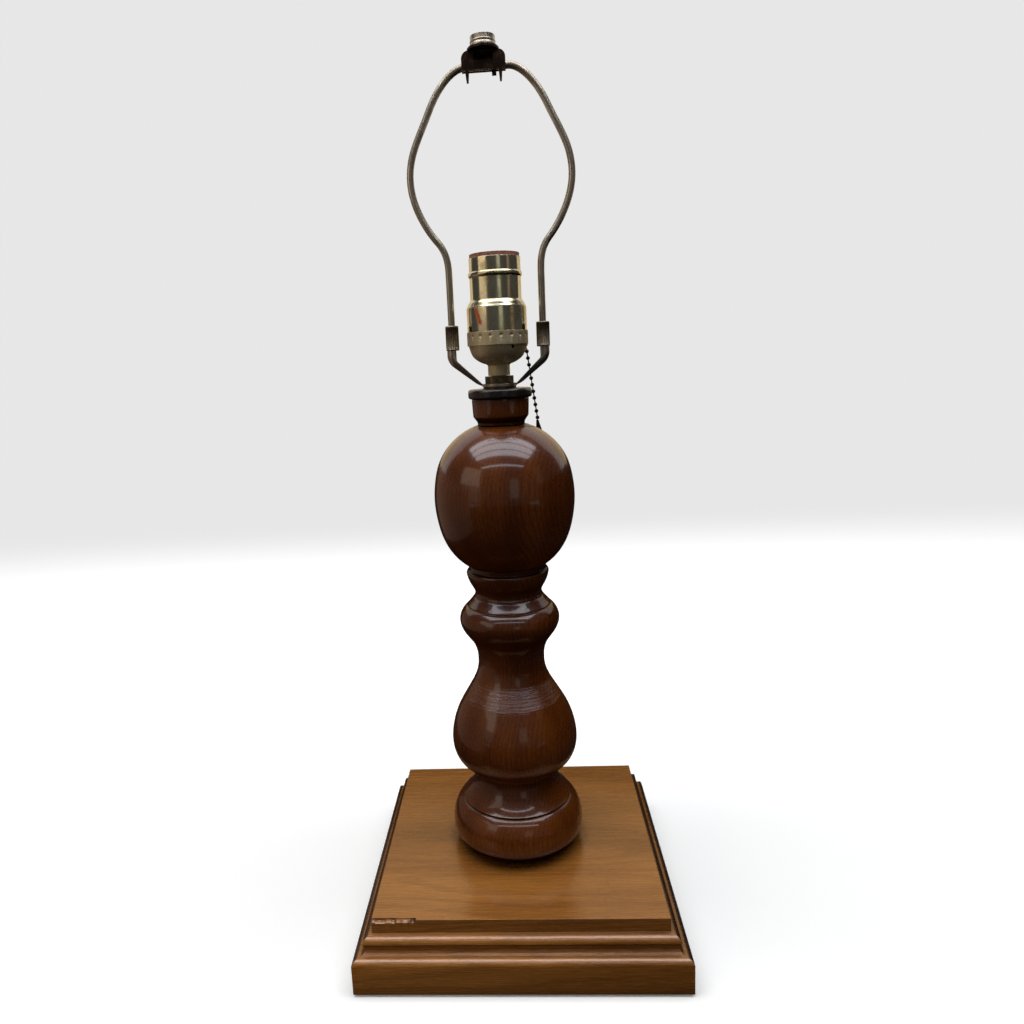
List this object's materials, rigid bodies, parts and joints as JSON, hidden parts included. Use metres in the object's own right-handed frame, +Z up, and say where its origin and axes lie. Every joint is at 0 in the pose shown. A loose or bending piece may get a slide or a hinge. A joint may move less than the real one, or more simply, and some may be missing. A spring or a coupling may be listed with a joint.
{
  "type": "table lamp",
  "caption": "Turned wooden table lamp with a moulded square plinth, a brass lamp socket with a pull chain, and a wire harp with a knob for a shade.",
  "frame": {"origin": "middle of the underside of the felt, where the lamp stands", "axes": "+Z up along the column, +X to the right of the lamp seen from the front, along the harp; +Y to the back, where the cord hole is"},
  "size_m": [0.2, 0.2018, 0.5516],
  "materials": {
    "felt": "woven",
    "walnut": "satin varnish",
    "mahogany": "gloss varnish",
    "ebonised": "gloss lacquer",
    "brass": "polished, tarnished",
    "bronze": "antique bronze",
    "steel": "plain",
    "dark_steel": "oiled",
    "aluminium": "plain",
    "fibre": "matt",
    "moulded": "gloss",
    "bushing": "matt"
  },
  "bodies": {
    "lamp": {"base_felt": "felt", "base_plinth": "walnut", "base_washer": "steel", "base_nut": "steel", "cord_bushing": "bushing", "threaded_pipe": "steel", "turned_baluster": "mahogany", "ball_turning": "mahogany", "neck_collar": "mahogany", "cap_disc": "ebonised", "saddle_washer": "dark_steel", "harp_saddle": "bronze", "saddle_locknut": "dark_steel", "socket_cap": "brass", "cap_set_screw": "steel", "socket_shell": "brass", "shell_liner": "fibre", "socket_interior": "moulded", "screw_shell": "aluminium", "centre_contact": "brass", "terminal_plates": "brass", "terminal_screws": "brass", "chain_guide": "brass", "lever_pin": "steel", "return_spring": "steel", "rotor_pin": "steel"},
    "harp": {"harp_wire": "bronze", "harp_bracket": "bronze", "harp_stud": "bronze"},
    "left_sleeve": {"harp_sleeve_left": "bronze"},
    "right_sleeve": {"harp_sleeve_right": "bronze"},
    "knob": {"finial_knob": "bronze"},
    "chain_lead": {"pull_lead": "brass"},
    "chain_run": {"pull_chain": "brass", "chain_bell": "brass"},
    "lever": {"chain_lever": "steel"},
    "rotor": {"switch_rotor": "fibre"}
  },
  "joints": [
    {"name": "harp_lift", "type": "slide", "parent": "lamp", "child": "harp", "axis": [0, 0, 1], "range_m": [0, 0.02]},
    {"name": "left_sleeve_slide", "type": "slide", "parent": "harp", "child": "left_sleeve", "axis": [0, 0, 1], "range_m": [0, 0.02]},
    {"name": "right_sleeve_slide", "type": "slide", "parent": "harp", "child": "right_sleeve", "axis": [0, 0, 1], "range_m": [0, 0.02]},
    {"name": "knob_turn", "type": "hinge", "parent": "harp", "child": "knob", "pos_m": [-0.0014, 0, 0.5449], "axis": [0, 0, 1], "continuous": true},
    {"name": "chain_pull", "type": "slide", "parent": "lamp", "child": "chain_lead", "axis": [0.766, 0.6428, 0], "range_m": [0, 0.005], "stiffness_N_per_m": 8, "springref_m": -0.003},
    {"name": "chain_swing", "type": "hinge", "parent": "chain_lead", "child": "chain_run", "pos_m": [0.01685, 0.01414, 0.3802], "axis": [0.6428, -0.766, 0], "range_deg": [0, 60]},
    {"name": "lever_swing", "type": "hinge", "parent": "lamp", "child": "lever", "pos_m": [0.00613, 0.00514, 0.3892], "axis": [0.6428, -0.766, 0], "range_deg": [0, 32]},
    {"name": "rotor_turn", "type": "hinge", "parent": "lamp", "child": "rotor", "pos_m": [-0.00123, -0.00103, 0.3892], "axis": [0.6428, -0.766, 0], "range_deg": [0, 90]}
  ],
  "couplings": [
    {"joint": "lever_swing", "follows": "chain_pull", "rad_per_m": 111},
    {"joint": "rotor_turn", "follows": "chain_pull", "rad_per_m": 314}
  ]
}
